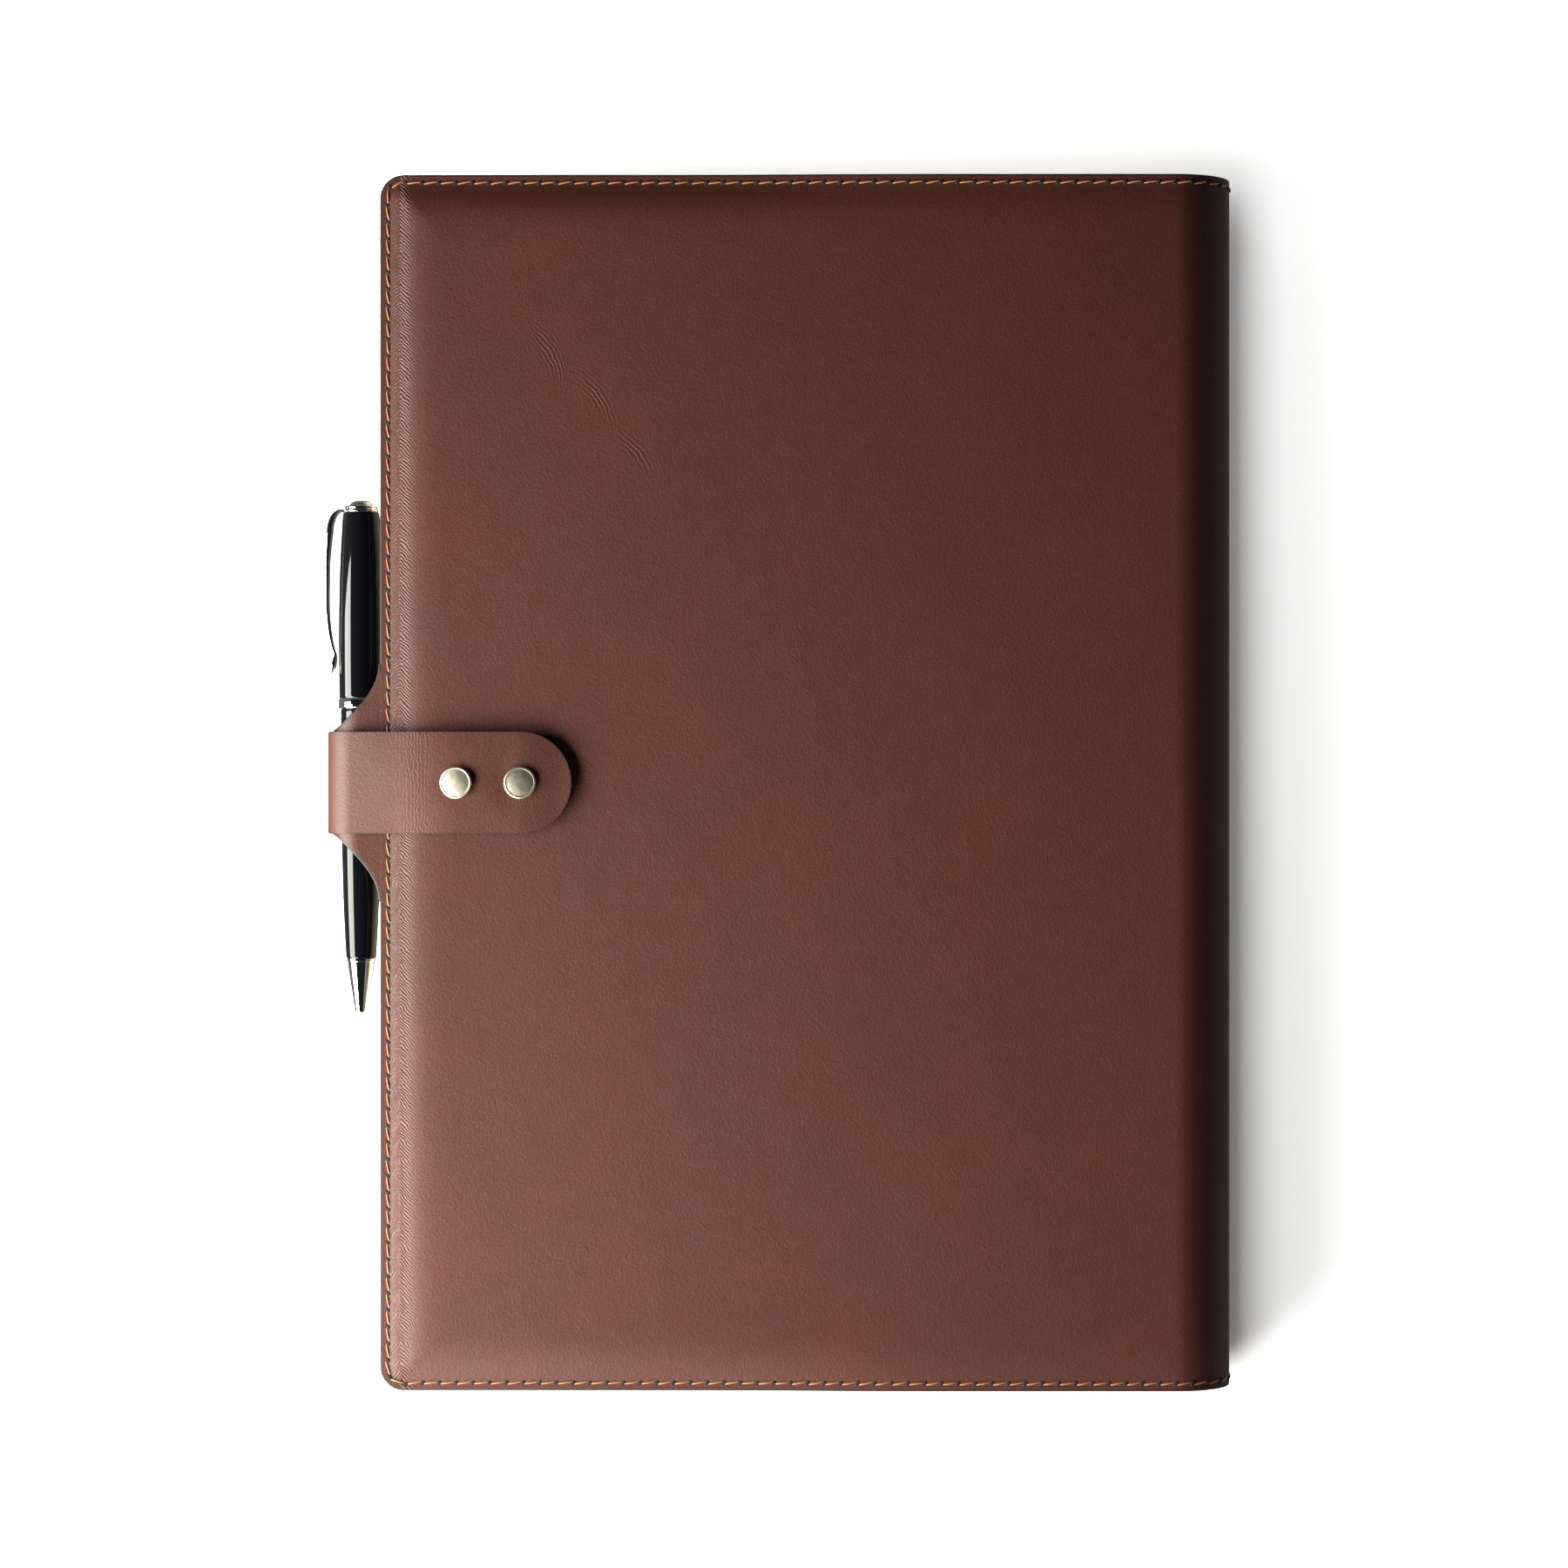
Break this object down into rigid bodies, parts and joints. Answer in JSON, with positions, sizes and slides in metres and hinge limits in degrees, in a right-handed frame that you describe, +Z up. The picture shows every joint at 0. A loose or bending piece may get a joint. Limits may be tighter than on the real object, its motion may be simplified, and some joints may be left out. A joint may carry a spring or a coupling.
{
  "type": "leather notebook cover",
  "caption": "Brown leather wrap-around cover for a hardback notebook, with a sewn edge, a pen in a loop at the fore-edge and a closing strap with press studs.",
  "frame": {"origin": "middle of the whole object's box, on the surface that the closed cover lies on", "axes": "+Y along the spine towards the head, +X towards the spine, -X towards the fore-edge with the pen and strap, +Z up out of the closed upper cover"},
  "size_m": [0.2376, 0.316, 0.0324],
  "materials": {
    "hide": "smooth brown vegetable-tanned leather, waxed to a soft sheen, with fine grain and burnished dark cut edges",
    "lining": "thin tan split leather, matt and slightly napped",
    "thread": "waxed tan linen thread, saddle-stitched",
    "board": "charcoal book cloth on greyboard",
    "paper": "cream writing paper, trimmed edges",
    "nickel": "polished nickel with a warm tint",
    "lacquer": "gloss black lacquer",
    "pen_chrome": "bright polished chrome",
    "refill_brass": "plain drawn brass tube"
  },
  "bodies": {
    "lower_cover": {"leather_lower": "hide", "lining_lower": "lining", "board_lower": "board", "pocket_lower": "lining", "thread_lower": "thread", "page_block": "paper", "strap_root": "hide"},
    "spine": {"leather_spine": "hide", "lining_spine": "lining", "board_spine": "board", "thread_spine_head": "thread", "thread_spine_tail": "thread"},
    "upper_cover": {"leather_upper": "hide", "lining_upper": "lining", "board_upper": "board", "pocket_upper": "lining", "thread_upper": "thread", "pen_loop": "hide", "snap_stud_1": "nickel", "snap_stud_2": "nickel", "snap_rivet_1": "nickel", "snap_rivet_2": "nickel"},
    "strap_middle": {"strap_wrap": "hide"},
    "strap_end": {"strap_flap": "hide", "snap_cap_1": "nickel", "snap_cap_2": "nickel", "snap_socket_1": "nickel", "snap_socket_2": "nickel"},
    "pen": {"pen_barrel_lower": "lacquer", "pen_nose": "pen_chrome"},
    "pen_top": {"pen_barrel_upper": "lacquer", "pen_ring": "pen_chrome", "pen_finial": "pen_chrome", "pen_clip_collar": "pen_chrome"},
    "clip": {"pen_clip": "pen_chrome"},
    "refill": {"pen_refill": "refill_brass"}
  },
  "joints": [
    {"name": "spine_fold", "type": "hinge", "parent": "lower_cover", "child": "spine", "pos_m": [0.10305, 0, 0], "axis": [0, 1, 0], "range_deg": [0, 90]},
    {"name": "cover_fold", "type": "hinge", "parent": "spine", "child": "upper_cover", "pos_m": [0.10305, 0, 0.028], "axis": [0, 1, 0], "range_deg": [0, 90]},
    {"name": "strap_open", "type": "hinge", "parent": "lower_cover", "child": "strap_middle", "pos_m": [-0.11774, 0, 0.012], "axis": [0, -1, 0], "range_deg": [0, 100]},
    {"name": "strap_lift", "type": "hinge", "parent": "strap_middle", "child": "strap_end", "pos_m": [-0.09255, 0, 0.0307], "axis": [0, -1, 0], "range_deg": [0, 70]},
    {"name": "pen_slide", "type": "slide", "parent": "upper_cover", "child": "pen", "axis": [0, 1, 0], "range_m": [-0.012, 0.08]},
    {"name": "pen_twist", "type": "hinge", "parent": "pen", "child": "pen_top", "pos_m": [-0.1093, 0, 0.0183], "axis": [0, -1, 0], "range_deg": [0, 120]},
    {"name": "clip_flex", "type": "hinge", "parent": "pen_top", "child": "clip", "pos_m": [-0.1146, 0.0712, 0.0183], "axis": [0, 0, -1], "range_deg": [0, 6], "stiffness_Nm_per_rad": 1.2},
    {"name": "refill_slide", "type": "slide", "parent": "pen", "child": "refill", "axis": [0, -1, 0], "range_m": [0, 0.0034]}
  ],
  "couplings": [
    {"joint": "cover_fold", "follows": "spine_fold", "ratio": 1},
    {"joint": "refill_slide", "follows": "pen_twist", "m_per_rad": 0.0016233}
  ]
}
